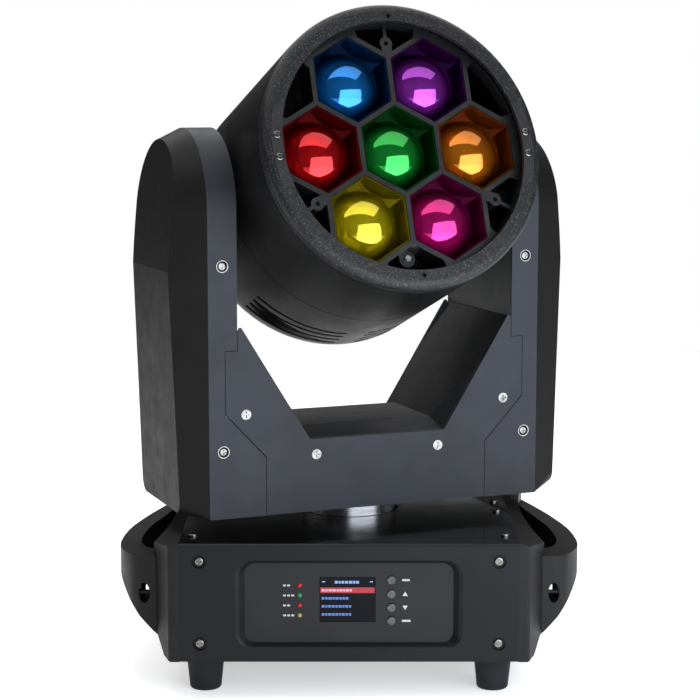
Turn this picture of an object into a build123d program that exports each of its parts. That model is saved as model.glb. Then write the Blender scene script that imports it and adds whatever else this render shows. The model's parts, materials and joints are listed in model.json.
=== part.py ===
"""Moving head wash light: base with pan drive, yoke with tilt drive, and a zoom head with seven lenses.

Millimetres. The base frame has its origin on the pan axis in the underside of the base, +Z up, front towards -Y.
Yoke parts are drawn facing -Y and then turned by PAN_REST. Head parts are drawn with the beam along +Z, the
tilt axis along X and the tilt axis through the origin, and are then raised and turned into their stored pose.
"""
from build123d import *
import math
import os

# Stored pose
PAN_REST = 21.9
BEAM_ELEVATION = 20.1

# Base
BASE_HALF = 112.0
BASE_HEIGHT = 80.0
SHEET = 1.5
PANEL_FRONT = -112.0
PANEL_BACK = -109.0
DISPLAY_FACE = -107.0
DISPLAY_BACK = -105.0
DISPLAY_MID_Z = 39.0
REAR_INNER = 110.0
FOOT_HEIGHT = 26.7
FOOT_TOP_R = 13.2
FOOT_BOTTOM_R = 10.5
FOOT_X = 97.0
FOOT_Y = 80.0
BRACKET_SPACING = 106.0
BRACKET_HOLE_R = 4.25
SCREW_X = 98.4
SCREW_Z = (12.5, 67.9)
TOP_SCREW_X = 103.9
TOP_SCREW_Y = (16.0, 90.1)
LED_X = -32.5
LED_Z = (50.7, 43.9, 37.2, 30.4)
BUTTON_X = 27.9
BUTTON_Z = (54.3, 44.9, 35.7, 26.7)
BUTTON_R = 2.85
WINDOW = (-19.5, 17.5, 25.8, 56.5)

# Side castings and handles
CASTING_WAIST_X = 122.0
CASTING_CORNER = (130.2, 87.0)
CASTING_EDGE_Z = 75.0
HANDLE_TOP = 66.0
HANDLE_HOLE = (137.1, 40.8)

# Pan drive
HUB_R = 33.0
HUB_SHAFT_R = 20.0
HUB_BORE_R = 13.0
BEARING_GAP = 0.03
PAN_MOTOR_X = -66.0
PAN_PULLEY_R = 45.0
PAN_PINION_R = 9.0
PAN_BELT_Z = (60.0, 72.0)
BRIDGE_TOP = 53.0

# Yoke
YOKE_BOTTOM = 91.4
YOKE_FRONT = 53.0
ARM_IN = 100.5
ARM_OUT = 120.5
ARM_ROUND_Z = 296.0
SKIN = 2.0
TILT_Z = 303.6
PLATE_SKIN = 1.6
VALLEY_X = 49.4
VALLEY_Z = 141.2
PLATE_TIP = (97.6, 218.8)
SADDLE_X = 48.0
SADDLE_Z = 147.4
SADDLE_FLAT_Y = 32.0
SADDLE_TOP_Z = 217.5
ARM_SCREWS = ((110.6, 259.9), (110.6, 136.6))
PLATE_SCREWS = ((94.6, 160.8), (44.8, 130.7))
TILT_MOTOR_Z = 150.0
TILT_PULLEY_R = 34.0
TILT_PINION_R = 8.5
TILT_BELT_X = (113.0, 121.0)
TILT_SHAFT_R = 15.0

# Head
BARREL_R = 97.2
BARREL_WALL = 2.5
BARREL_FRONT = 94.0
BARREL_REAR = -84.0
REAR_ROUND_R = 58.0
REAR_ROUND_L = 35.0
SEAM_L = 21.0
RING_FACE = 105.1
RING_OPENING_R = 84.3
RING_FLAT_R = 91.5
RING_R = 97.0
RING_SPIGOT_R = 94.3
CLIP_HALF = 28.0
RING_SCREW_R = 87.8
RING_SCREW_OFF = 7.25
VENT_L = (-18.5, -27.2, -35.9, -44.6)
VENT_WIDTH = 3.4
VENT_START = 4.6
VENT_ARC = 41.5

# Zoom lens carriage
FRAME_FACE = 95.8
FRAME_BACK = 76.0
FRAME_R = 87.2
FRAME_RIM_R = 85.3
LENS_PITCH = 54.5
CELL_R = 29.6
CELL_RIB = 3.3
BOSS_ORBIT = 72.3
BOSS_R = 4.4
ROD_R = 1.5
ROD_GAP = 0.05
LENS_R = 29.3
DOME_R = 26.0
DOME_BASE_R = 24.3
DOME_BASE_L = 78.5
SCREW_ORBIT = 71.0
ZOOM_SCREW_R = 2.0

YOKE = Rot(0, 0, PAN_REST)
HEAD = YOKE * Pos(0, 0, TILT_Z) * Rot(90 - BEAM_ELEVATION, 0, 0)
BASE = Pos(0, 0, 0)

FACING_FRONT = Rot(90, 0, 0)
FACING_REAR = Rot(-90, 0, 0)


# ---------------------------------------------------------------- shared helpers

def block(x0, x1, y0, y1, z0, z1):
    return Pos((x0 + x1) / 2, (y0 + y1) / 2, (z0 + z1) / 2) * Box(x1 - x0, y1 - y0, z1 - z0)


def rod(radius, z0, z1, x=0.0, y=0.0):
    return Pos(x, y, (z0 + z1) / 2) * Cylinder(radius, z1 - z0)


def rod_x(radius, x0, x1, y=0.0, z=0.0):
    return Pos((x0 + x1) / 2, y, z) * Rot(0, 90, 0) * Cylinder(radius, x1 - x0)


def rod_y(radius, y0, y1, x=0.0, z=0.0):
    return Pos(x, (y0 + y1) / 2, z) * Rot(90, 0, 0) * Cylinder(radius, y1 - y0)


def ring(outer, inner, z0, z1):
    return rod(outer, z0, z1) - rod(inner, z0 - 1, z1 + 1)


def polygon(points):
    return make_face(Polyline(*points, close=True))


def along_y(face, y0, y1):
    """Extrude a face drawn in (x, z) from y0 to y1."""
    return extrude(Plane(origin=(0, y1, 0), x_dir=(1, 0, 0), z_dir=(0, -1, 0)) * face, y1 - y0)


def along_x(face, x0, x1):
    """Extrude a face drawn in (y, z) from x0 to x1."""
    return extrude(Plane(origin=(x0, 0, 0), x_dir=(0, 1, 0), z_dir=(1, 0, 0)) * face, x1 - x0)


def along_z(face, z0, z1):
    return extrude(Pos(0, 0, z0) * face, z1 - z0)


def turned(points, start=0.0, arc=360.0):
    """Revolve an (r, z) polygon about Z, from the start angle."""
    section = Plane.XZ * polygon(points)
    return Rot(0, 0, start) * revolve(section, Axis.Z, revolution_arc=arc)


def mirrored_x(shape):
    return mirror(shape, about=Plane.YZ)


def both_sides(shape):
    return [shape, mirrored_x(shape)]


def front_and_back(shape):
    return [shape, mirror(shape, about=Plane.XZ)]


def below(shape, p1, p2, p3):
    """Keep what lies under the plane through three points."""
    a, b, c = Vector(*p1), Vector(*p2), Vector(*p3)
    normal = (b - a).cross(c - a)
    if normal.Z < 0:
        normal = normal * -1
    cut = Plane(origin=a, x_dir=b - a, z_dir=normal)
    return split(shape, bisect_by=cut, keep=Keep.BOTTOM)


def belt_loop(x, y, r_big, r_small, gap, thick):
    """A closed belt round two pulleys, the big one at the origin."""
    outer = make_hull(Circle(r_big + gap + thick).edges() + (Pos(x, y) * Circle(r_small + gap + thick)).edges())
    inner = make_hull(Circle(r_big + gap).edges() + (Pos(x, y) * Circle(r_small + gap)).edges())
    return outer - inner


def pulley(radius, bore, z0, z1):
    """A flanged belt pulley with its axis on Z."""
    flange = 1.5
    body = rod(radius, z0, z1) + rod(radius + flange, z0, z0 + flange) + rod(radius + flange, z1 - flange, z1)
    return body - rod(bore, z0 - 1, z1 + 1)


def pan_head_screw(head_r=2.95, head_h=1.8, shank_r=1.5, shank=5.0):
    """Cross-recess screw, head on z = 0 upwards, shank below."""
    head = rod(head_r, 0, head_h)
    head = fillet(head.edges().group_by(Axis.Z)[-1], head_h * 0.55)
    slot = 0.28 * head_r
    reach = 0.62 * head_r
    cross = block(-reach, reach, -slot / 2, slot / 2, head_h * 0.35, head_h + 1)
    cross += block(-slot / 2, slot / 2, -reach, reach, head_h * 0.35, head_h + 1)
    return head - cross + rod(shank_r, -shank, 0)


def flat_head_screw(head_r=3.4, shank_r=1.6, shank=5.0):
    """Countersunk cross-recess screw with its flat face at z = 0."""
    depth = head_r - shank_r
    head = turned([(0, 0), (head_r, 0), (head_r, -0.3), (shank_r, -0.3 - depth), (0, -0.3 - depth)])
    slot = 0.26 * head_r
    reach = 0.6 * head_r
    cross = block(-reach, reach, -slot / 2, slot / 2, -1.0, 1)
    cross += block(-slot / 2, slot / 2, -reach, reach, -1.0, 1)
    return head - cross + rod(shank_r, -0.3 - depth - shank, -0.3 - depth)


def stepper_motor(size, length, shaft_hole):
    """Square motor with chamfered corners, its face at z = 0 and body below, with a pilot boss."""
    can = block(-size / 2, size / 2, -size / 2, size / 2, -length, 0)
    can = chamfer(can.edges().filter_by(Axis.Z), size * 0.09)
    lines = [ring(size, size / 2 - 0.6, level - 0.4, level + 0.4) for level in (-8.0, 8.0 - length)]
    for line in lines:
        can = can - line
    return can + rod(size * 0.26, 0, 2) - rod(shaft_hole, -8, 3)


def save(name, place, *shapes):
    solids = [s for shape in shapes for s in shape.solids()]
    placed = [place * s for s in solids]
    export_step(Compound(children=placed) if len(placed) > 1 else placed[0], f"parts/{name}.step")


# ---------------------------------------------------------------- base shell

def base_tray():
    plate = block(-BASE_HALF, BASE_HALF, PANEL_BACK, REAR_INNER, 0, 2)
    half = BRACKET_SPACING / 2
    for x in (-half, half):
        for y in (-half, half):
            plate -= rod(BRACKET_HOLE_R, -1, 3, x, y)
    for x in range(-60, 61, 12):
        plate -= block(x - 2, x + 2, -20, 20, -1, 3)
    return plate


def base_feet():
    foot = Pos(0, 0, -FOOT_HEIGHT / 2) * Cone(FOOT_BOTTOM_R, FOOT_TOP_R, FOOT_HEIGHT)
    foot = fillet(foot.edges().group_by(Axis.Z)[0], 2.0)
    foot -= rod(3.5, -FOOT_HEIGHT - 1, -FOOT_HEIGHT + 6)
    return [Pos(x, y, 0) * foot for x in (-FOOT_X, FOOT_X) for y in (-FOOT_Y, FOOT_Y)]


def base_top():
    """Rear one of two top sheets that meet on the pan axis, with half of the hub hole."""
    edge = 0.15
    sheet = block(-BASE_HALF, BASE_HALF, edge, BASE_HALF, BASE_HEIGHT - SHEET, BASE_HEIGHT)
    sheet -= rod(HUB_R + 1.5, BASE_HEIGHT - 5, BASE_HEIGHT + 1)
    for x in (-TOP_SCREW_X, TOP_SCREW_X):
        for y in TOP_SCREW_Y:
            sheet -= rod(1.7, BASE_HEIGHT - 5, BASE_HEIGHT + 1, x, y)
    return sheet


def front_panel():
    """Moulded front with a bevelled recess that frames the display."""
    top = BASE_HEIGHT - SHEET - 0.2
    plate = block(-BASE_HALF, BASE_HALF, PANEL_FRONT, PANEL_BACK, 0.3, top)
    plate += block(-77, 77, PANEL_BACK, DISPLAY_FACE, 4, 74)
    outer = Plane(origin=(0, PANEL_FRONT, DISPLAY_MID_Z), x_dir=(1, 0, 0), z_dir=(0, 1, 0))
    lip = outer * RectangleRounded(149.6, 59.6, 11)
    mouth = outer.offset(1.0) * RectangleRounded(144.6, 57.6, 9)
    floor = outer.offset(DISPLAY_FACE - PANEL_FRONT) * RectangleRounded(137.6, 53.6, 7)
    plate -= loft([lip, mouth])
    plate -= loft([mouth, floor])
    for x in (-SCREW_X, SCREW_X):
        for z in SCREW_Z:
            plate -= rod_y(4.75, PANEL_FRONT - 1, PANEL_FRONT + 2, x, z)
            plate -= rod_y(1.55, PANEL_FRONT, PANEL_BACK + 1, x, z)
    return plate


def rear_panel():
    top = BASE_HEIGHT - SHEET - 0.2
    plate = block(-BASE_HALF, BASE_HALF, REAR_INNER, BASE_HALF, 0.3, top)
    for x, z in CONNECTORS:
        plate -= rod_y(CONNECTOR_BODY_R, REAR_INNER - 1, BASE_HALF + 1, x, z)
        for side in (-1, 1):
            plate -= rod_y(1.6, REAR_INNER - 1, BASE_HALF + 1, x + 9.5 * side, z + 12 * side)
    latch_x, latch_z = CONNECTORS[3]
    plate -= block(latch_x - 3.4, latch_x + 3.4, REAR_INNER - 1, BASE_HALF + 1, latch_z + 11, latch_z + 15.6)
    plate -= rod_y(FUSE_BODY_R, REAR_INNER - 1, BASE_HALF + 1, FUSE[0], FUSE[1])
    for x in range(-40, 41, 8):
        plate -= block(x - 2, x + 2, REAR_INNER - 1, BASE_HALF + 1, 10, 22)
    for x in (-SCREW_X, SCREW_X):
        for z in SCREW_Z:
            plate -= rod_y(1.55, REAR_INNER - 1, BASE_HALF + 1, x, z)
    return plate


def casting_plan(inset):
    """Half-round sided plan of a casting. The inset shrinks it to make the pocket inside."""
    x0 = BASE_HALF
    corner_x, corner_y = CASTING_CORNER[0] - 1.25 * inset, CASTING_CORNER[1]
    end = BASE_HALF - inset
    lip = 116.5 - 0.3 * inset
    shoulder = (119.9 - inset, end - 3)
    bend = (118.8 - 0.8 * inset, end - 0.8)
    edges = [
        Line((x0, -end), (lip, -end)),
        ThreePointArc((lip, -end), (bend[0], -bend[1]), (shoulder[0], -shoulder[1])),
        Line((shoulder[0], -shoulder[1]), (corner_x, -corner_y)),
        ThreePointArc((corner_x, -corner_y), (CASTING_WAIST_X - inset, 0), (corner_x, corner_y)),
        Line((corner_x, corner_y), shoulder),
        ThreePointArc(shoulder, bend, (lip, end)),
        Line((lip, end), (x0, end)),
        Line((x0, end), (x0, -end)),
    ]
    return make_face(edges)


def handle_ring_plan():
    """Plan of the carrying handle: a teardrop loop, widest towards the front."""
    outer = [
        Line((118, -89.5), (136, -89.2)),
        Spline((136, -89.2), (148.6, -79.6), (155.2, -62), (156.9, -38), (153.2, 2.4), (146.9, 31.4),
               (140.1, 57), (132.8, 81), (129.4, 92), tangents=((1, 0.1), (-0.3, 1))),
        Line((129.4, 92), (118, 92)),
        Line((118, 92), (118, -89.5)),
    ]
    inner = [
        Line((116, -66), (131, -66)),
        Spline((131, -66), (138.6, -60.5), (142.4, -49), (143.4, -30), (139.9, 6), (135.4, 27), (130.4, 50),
               (127.2, 70), tangents=((1, 0.05), (-0.15, 1))),
        Line((127.2, 70), (116, 70)),
        Line((116, 70), (116, -66)),
    ]
    return make_face(outer) - make_face(inner)


def side_casting():
    """Right-hand casting with its carrying handle, hollow inside and open towards the base."""
    slope = (BASE_HEIGHT - CASTING_EDGE_Z) / (CASTING_CORNER[0] - BASE_HALF)
    far_x = 134.0
    far_z = BASE_HEIGHT - slope * (far_x - BASE_HALF)
    body_side = [(BASE_HALF, 0), (118, 0), (123, 2), (127.6, 12), (far_x, 28), (far_x, far_z),
                 (BASE_HALF, BASE_HEIGHT)]
    body = along_z(casting_plan(0), 0, BASE_HEIGHT) & along_y(polygon(body_side), -BASE_HALF, BASE_HALF)
    handle_side = [(BASE_HALF, HANDLE_TOP), (159, HANDLE_TOP), (159, 52), (156.5, 48), (153.4, 43.6),
                   (147.2, 34.3), (140.3, 24.8), (131.3, 15.0), (126.5, 10.6), (BASE_HALF, 10.6)]
    handle = along_z(handle_ring_plan(), 5, HANDLE_TOP) & along_y(polygon(handle_side), -100, 100)
    pocket = along_z(casting_plan(3.2), 3, CASTING_EDGE_Z - 3)
    casting = body + handle - pocket
    hole_x, hole_z = HANDLE_HOLE
    slot = Ellipse(3.8, 6.9)
    casting -= along_y(Pos(hole_x, hole_z) * slot, -95, -60)
    return casting + rod_x(1.35, hole_x - 6.0, hole_x + 6.0, -85, hole_z)


def base_screws():
    screws = []
    for x in (-SCREW_X, SCREW_X):
        for z in SCREW_Z:
            screws.append(Pos(x, PANEL_FRONT + 2, z) * FACING_FRONT * pan_head_screw())
            screws.append(Pos(x, BASE_HALF, z) * FACING_REAR * pan_head_screw())
    for x in (-TOP_SCREW_X, TOP_SCREW_X):
        for y in TOP_SCREW_Y:
            screws += front_and_back(Pos(x, y, BASE_HEIGHT) * pan_head_screw())
    for x, z in CONNECTORS:
        for side in (-1, 1):
            spot = Pos(x + 9.5 * side, BASE_HALF + 2, z + 12 * side)
            screws.append(spot * FACING_REAR * pan_head_screw(2.6, 1.5, 1.4, 3.8))
    return screws


# ---------------------------------------------------------------- display and controls

def display_panel():
    plate = block(-75, 75, DISPLAY_FACE, DISPLAY_BACK, 7, 71)
    plate -= block(WINDOW[0], WINDOW[1], DISPLAY_FACE - 1, DISPLAY_BACK + 1, WINDOW[2], WINDOW[3])
    for z in LED_Z:
        plate -= rod_y(1.6, DISPLAY_FACE - 1, DISPLAY_BACK + 1, LED_X, z)
    for z in BUTTON_Z:
        plate -= rod_y(BUTTON_R + 0.25, DISPLAY_FACE - 1, DISPLAY_BACK + 1, BUTTON_X, z)
    return plate


def display_screen():
    """Colour display module: glass in the window and the metal can behind it."""
    glass = block(WINDOW[0] + 0.1, WINDOW[1] - 0.1, DISPLAY_FACE + 0.3, DISPLAY_BACK, WINDOW[2] + 0.1,
                  WINDOW[3] - 0.1)
    can = block(WINDOW[0] - 2, WINDOW[1] + 2, DISPLAY_BACK, DISPLAY_BACK + 2.6, WINDOW[2] - 4, WINDOW[3] + 2)
    return glass + can


def status_led(z):
    body = rod_y(1.5, DISPLAY_FACE + 0.4, -100.2, LED_X, z)
    dome = Pos(LED_X, DISPLAY_FACE + 0.4, z) * Sphere(1.5)
    return body + dome


def button(z):
    """Push button with a stop flange behind the panel and a stem towards its switch."""
    cap = rod_y(BUTTON_R, DISPLAY_FACE - 1.3, -102.8, BUTTON_X, z)
    cap = fillet(cap.edges().group_by(Axis.Y)[0], 0.5)
    return cap + rod_y(3.6, DISPLAY_BACK + 0.1, DISPLAY_BACK + 1.1, BUTTON_X, z)


def control_board():
    board = block(-70, 70, -100.2, -98.6, 12, 66)
    chips = block(-58, -44, -98.6, -96.8, 30, 44) + block(-10, 6, -98.6, -97.0, 32, 48)
    socket = block(40, 60, -98.6, -92.6, 18, 26)
    return board + chips + socket


def tact_switches():
    switches = []
    for z in BUTTON_Z:
        body = block(BUTTON_X - 3, BUTTON_X + 3, -101.4, -100.2, z - 3, z + 3)
        switches.append(body + rod_y(1.6, -101.9, -101.4, BUTTON_X, z))
    return switches


# ---------------------------------------------------------------- rear connectors

CONNECTOR_Z = 48.0
CONNECTORS = ((-78.0, CONNECTOR_Z), (-42.0, CONNECTOR_Z), (24.0, CONNECTOR_Z), (60.0, CONNECTOR_Z))
CONNECTOR_BODY_R = 11.9
CONNECTOR_DEPTH = 20.0
FUSE = (92.0, CONNECTOR_Z)
FUSE_BODY_R = 6.2


def connector_shell(x, z, cup_r, cup_depth):
    """Panel connector with a rectangular flange, a round body and an open cup."""
    flange = Plane(origin=(x, BASE_HALF, z), x_dir=(1, 0, 0), z_dir=(0, 1, 0)) * RectangleRounded(26, 31, 2)
    shell = extrude(flange, 2.0)
    shell += rod_y(CONNECTOR_BODY_R - 0.1, BASE_HALF - CONNECTOR_DEPTH, BASE_HALF, x, z)
    shell -= rod_y(cup_r, BASE_HALF + 2 - cup_depth, BASE_HALF + 3, x, z)
    for side in (-1, 1):
        shell -= rod_y(1.6, BASE_HALF - 1, BASE_HALF + 3, x + 9.5 * side, z + 12 * side)
    return shell


def power_socket(x, z):
    """Locking mains connector: a cup with a keyed core and three contacts inside."""
    shell = connector_shell(x, z, 10.2, 16)
    core = rod_y(6.6, BASE_HALF - 14, BASE_HALF - 1, x, z)
    for angle in (90, 210, 330):
        dx = 3.6 * math.cos(math.radians(angle))
        dz = 3.6 * math.sin(math.radians(angle))
        core -= rod_y(1.3, BASE_HALF - 9, BASE_HALF, x + dx, z + dz)
    key = block(x - 1.5, x + 1.5, BASE_HALF - 14, BASE_HALF - 3, z - 8.4, z - 5)
    return shell + core + key


def dmx_socket_male(x, z):
    shell = connector_shell(x, z, 9.6, 16)
    for angle in (-30, 90, 210):
        dx = 4.4 * math.cos(math.radians(angle))
        dz = -4.4 * math.sin(math.radians(angle))
        shell += rod_y(1.2, BASE_HALF - 16, BASE_HALF - 4, x + dx, z + dz)
    return shell


def dmx_socket_female(x, z):
    shell = connector_shell(x, z, 9.6, 3)
    shell += rod_y(8.2, BASE_HALF - 2, BASE_HALF + 2, x, z)
    for angle in (-30, 90, 210):
        dx = 4.4 * math.cos(math.radians(angle))
        dz = -4.4 * math.sin(math.radians(angle))
        shell -= rod_y(1.35, BASE_HALF - 12, BASE_HALF + 3, x + dx, z + dz)
    shell -= block(x - 3.3, x + 3.3, BASE_HALF - 3, BASE_HALF + 3, z + 11.1, z + 15.5)
    return shell


def dmx_latch(x, z):
    """Push tab that releases the plug in the female connector."""
    tab = block(x - 3.0, x + 3.0, BASE_HALF + 0.8, BASE_HALF + 3.2, z + 11.4, z + 15.2)
    return fillet(tab.edges().filter_by(Axis.Y), 0.8)


def fuse_holder():
    x, z = FUSE
    body = rod_y(FUSE_BODY_R - 0.1, BASE_HALF - 26, BASE_HALF, x, z) + rod_y(8.2, BASE_HALF, BASE_HALF + 1.6, x, z)
    cap = rod_y(6.0, BASE_HALF + 1.6, BASE_HALF + 7, x, z)
    cap = fillet(cap.edges().group_by(Axis.Y)[-1], 0.8)
    cap -= block(x - 4.2, x + 4.2, BASE_HALF + 5.8, BASE_HALF + 8, z - 0.6, z + 0.6)
    return body + cap


# ---------------------------------------------------------------- inside the base

def power_supply():
    """Vented metal case with its board and coils inside."""
    case = block(-70, 70, 52, 90, 2, 38) - block(-68.5, 68.5, 53.5, 88.5, 3.5, 36.5)
    for x in range(-60, 61, 10):
        case -= block(x - 1.5, x + 1.5, 58, 84, 36, 39)
    return case


def power_supply_board():
    board = block(-66, 66, 55, 87, 8, 9.6)
    posts = [rod(2.5, 3.5, 8, x, y) for x in (-60, 60) for y in (59, 83)]
    coil = block(-24, 8, 58, 84, 9.6, 30)
    caps = [rod(7, 9.6, 32, x, 71) for x in (26, 46)]
    sink = block(-54, -50, 57, 85, 9.6, 32)
    for piece in posts + caps + [coil, sink]:
        board += piece
    return board


def main_board():
    board = block(-84, 84, -94, -54, 9, 10.6)
    posts = [rod(2.5, 2, 9, x, y) for x in (-78, 78) for y in (-88, -60)]
    drivers = [block(x - 7, x + 7, -84, -70, 10.6, 16) for x in (-60, -30, 0, 30, 60)]
    for piece in posts + drivers:
        board += piece
    return board


def pan_bridge():
    """Bent steel bridge that carries the pan bearings and the pan motor."""
    side = [(-100, 2), (-100, BRIDGE_TOP), (100, BRIDGE_TOP), (100, 2), (97, 2), (97, 50), (-97, 50), (-97, 2)]
    bridge = along_y(polygon(side), -46, 46)
    bridge -= rod(HUB_SHAFT_R + 3, 40, BRIDGE_TOP + 1)
    bridge -= rod(11.2, 40, BRIDGE_TOP + 1, PAN_MOTOR_X, 0)
    for x in (-100, 100):
        bridge -= block(x - 5, x + 5, -22, 22, 12, 38)
    return bridge


def pan_bearing_housing():
    body = ring(37, 31, 24, 50) + ring(42, 31, 46, 50) + ring(37, 25, 22, 24)
    return body


def pan_bearings():
    bore = HUB_SHAFT_R + BEARING_GAP
    bearing = ring(31, bore, 24, 33) - ring(28, 24, 32, 34) - ring(28, 24, 23, 25)
    return [bearing, Pos(0, 0, 14) * bearing]


def pan_hub():
    """Hollow pan spindle: the polished collar under the yoke and the shaft in the bearings."""
    collar = rod(HUB_R, 74, YOKE_BOTTOM)
    collar = chamfer(collar.edges().group_by(Axis.Z)[0], 1.0)
    return collar + rod(HUB_SHAFT_R, 21, 74) - rod(HUB_BORE_R, 20, YOKE_BOTTOM + 1)


def pan_pulley():
    wheel = pulley(PAN_PULLEY_R, HUB_SHAFT_R, *PAN_BELT_Z)
    for angle in range(0, 360, 60):
        wheel -= Rot(0, 0, angle) * rod(6, 50, 80, 33, 0)
    return wheel


def pan_belt():
    loop = belt_loop(PAN_MOTOR_X, 0, PAN_PULLEY_R, PAN_PINION_R, 0.3, 1.4)
    return along_z(loop, PAN_BELT_Z[0] + 2, PAN_BELT_Z[1] - 2)


def pan_motor():
    return Pos(PAN_MOTOR_X, 0, 50) * stepper_motor(42, 40, 2.55)


def pan_motor_rotor():
    """Motor shaft with its belt pinion."""
    shaft = rod(2.5, 43, PAN_BELT_Z[1] + 2)
    return Pos(PAN_MOTOR_X, 0, 0) * (pulley(PAN_PINION_R, 2.4, *PAN_BELT_Z) + shaft)


# ---------------------------------------------------------------- yoke

def arm_side(half, bottom, centre=ARM_ROUND_Z):
    """Side outline of an arm in (y, z): straight sides and a half-round top."""
    edges = [
        Line((-half, bottom), (half, bottom)),
        Line((half, bottom), (half, centre)),
        ThreePointArc((half, centre), (0, centre + half), (-half, centre)),
        Line((-half, centre), (-half, bottom)),
    ]
    return make_face(edges)


def arm_side_rounded(half, bottom, corner):
    """Side outline of an arm with its two bottom corners rounded."""
    slack = corner * (1 - math.sqrt(0.5))
    low = half - corner
    high = bottom + corner
    edges = [
        Line((-low, bottom), (low, bottom)),
        ThreePointArc((low, bottom), (half - slack, bottom + slack), (half, high)),
        Line((half, high), (half, ARM_ROUND_Z)),
        ThreePointArc((half, ARM_ROUND_Z), (0, ARM_ROUND_Z + half), (-half, ARM_ROUND_Z)),
        Line((-half, ARM_ROUND_Z), (-half, high)),
        ThreePointArc((-half, high), (slack - half, bottom + slack), (-low, bottom)),
    ]
    return make_face(edges)


def yoke_frame():
    """Welded steel U that joins the pan hub to the tilt bearings."""
    frame = block(-118, 118, -50, 50, YOKE_BOTTOM, YOKE_BOTTOM + 3)
    upright = along_x(arm_side(44, YOKE_BOTTOM + 3), 103, 106)
    upright -= rod_x(24, 100, 110, 0, TILT_Z)
    upright -= rod_x(11.2, 100, 110, 0, TILT_MOTOR_Z)
    window = arm_side(16, 195, 235)
    upright -= along_x(window, 100, 110)
    gusset = along_y(polygon([(103, 94.4), (103, 120), (72, 94.4)]), -50, -47)
    for piece in both_sides(upright) + both_sides(gusset) + both_sides(mirror(gusset, about=Plane.XZ)):
        frame += piece
    return frame - rod(HUB_BORE_R, 80, 100)


def arm_housing():
    """Painted band round the front, top and rear of the right arm, cut back where the centre plates fit."""
    band = along_x(arm_side(YOKE_FRONT, YOKE_BOTTOM), 80.9, ARM_OUT)
    band -= along_x(arm_side(YOKE_FRONT - SKIN, YOKE_BOTTOM - 5), 70, ARM_OUT + 5)
    front = [(80.9, YOKE_BOTTOM), (80.9, 131), (109.3, 161.5), (109.3, 204), (ARM_IN, 204), (ARM_IN, 360),
             (ARM_OUT, 360), (ARM_OUT, YOKE_BOTTOM)]
    band &= along_y(polygon(front), -60, 60)
    for x, z in ARM_SCREWS:
        band -= rod_y(4.1, -60, 60, x, z)
    return band


def arm_outer_solid(inset):
    """Bulged side of the right arm, tapering from the band to a crowned panel."""
    reach = 26.0
    taper = 12.2
    half = YOKE_FRONT - inset
    low = YOKE_BOTTOM + inset
    near = Plane(origin=(ARM_OUT, 0, 0), x_dir=(0, 1, 0), z_dir=(1, 0, 0))
    wide = near * arm_side_rounded(half, low, 1.0)
    narrow = near.offset(reach) * arm_side_rounded(half - taper, low + 5.0, 13.0)
    cone = loft([wide, narrow])
    x0 = ARM_OUT
    outline = [
        Line((x0, low), (138.5 - inset, 95 + inset)),
        Spline((138.5 - inset, 95 + inset), (141.4 - inset, 180), (144.2 - inset, 256)),
        Spline((144.2 - inset, 256), (141.9 - inset, 284), (136.6 - inset, 336), (135.6 - inset, 352)),
        Line((135.6 - inset, 352), (x0, 352)),
        Line((x0, 352), (x0, low)),
    ]
    return cone & along_y(make_face(outline), -60, 60)


def arm_outer_cover():
    wall = 2.5
    return arm_outer_solid(0) - Pos(-0.01, 0, 0) * arm_outer_solid(wall)


def arm_inner_cover():
    """Inset panel on the head side of the right arm, with the hole for the tilt shaft."""
    panel = along_x(arm_side(YOKE_FRONT - SKIN - 0.4, SADDLE_TOP_Z + 0.4), ARM_IN, ARM_IN + 2)
    return panel - rod_x(TILT_SHAFT_R + 1.5, ARM_IN - 1, ARM_IN + 3, 0, TILT_Z)


def yoke_plate():
    """Front centre plate. Its top edge follows the valley under the head."""
    gap = 0.4
    right = [(80.9 - gap, YOKE_BOTTOM + 0.3), (80.9 - gap, 131 + gap), (109.3 - gap, 161.5 + gap),
             (109.3 - gap, 204 - gap), (ARM_IN - gap, 204 - gap), (ARM_IN - gap, PLATE_TIP[1] - 2.2),
             (ARM_IN - gap - 1.2, PLATE_TIP[1]), PLATE_TIP, (VALLEY_X, VALLEY_Z)]
    left = [(-x, z) for x, z in reversed(right)]
    plate = along_y(polygon(right + left), -YOKE_FRONT, -YOKE_FRONT + PLATE_SKIN)
    for x, z in PLATE_SCREWS:
        for side in (-1, 1):
            head = Pos(side * x, -YOKE_FRONT - 0.01, z) * FACING_FRONT * countersink()
            plate -= head
    return plate


def countersink():
    return turned([(0, 1), (3.5, 1), (3.5, -0.3), (1.7, -2.1), (1.7, -6), (0, -6)])


def saddle_solid():
    """Solid whose top is the floor of the valley: flat in the middle, with chamfers towards both plates."""
    half = YOKE_FRONT - PLATE_SKIN
    base = 97.0
    rise = (SADDLE_TOP_Z - SADDLE_Z) / (ARM_IN - SADDLE_X)
    plate_rise = (PLATE_TIP[1] - VALLEY_Z) / (PLATE_TIP[0] - VALLEY_X)
    cross_x = (SADDLE_Z - rise * SADDLE_X - VALLEY_Z + plate_rise * VALLEY_X) / (plate_rise - rise)
    cross_z = VALLEY_Z + plate_rise * (cross_x - VALLEY_X)
    middle = block(-ARM_IN, ARM_IN, -half, half, base, SADDLE_Z)
    foot_x = SADDLE_X - (SADDLE_Z - base) / rise
    slope = along_y(polygon([(foot_x, base), (ARM_IN, SADDLE_TOP_Z), (ARM_IN, base)]), -half, half)
    for side in (-1, 1):
        corner = (VALLEY_X, side * YOKE_FRONT, VALLEY_Z)
        ledge = (SADDLE_X, side * SADDLE_FLAT_Y, SADDLE_Z)
        middle = below(middle, corner, ledge, (0, side * YOKE_FRONT, VALLEY_Z))
        slope = below(slope, corner, ledge, (cross_x, side * YOKE_FRONT, cross_z))
    return middle + slope + mirrored_x(slope)


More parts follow.
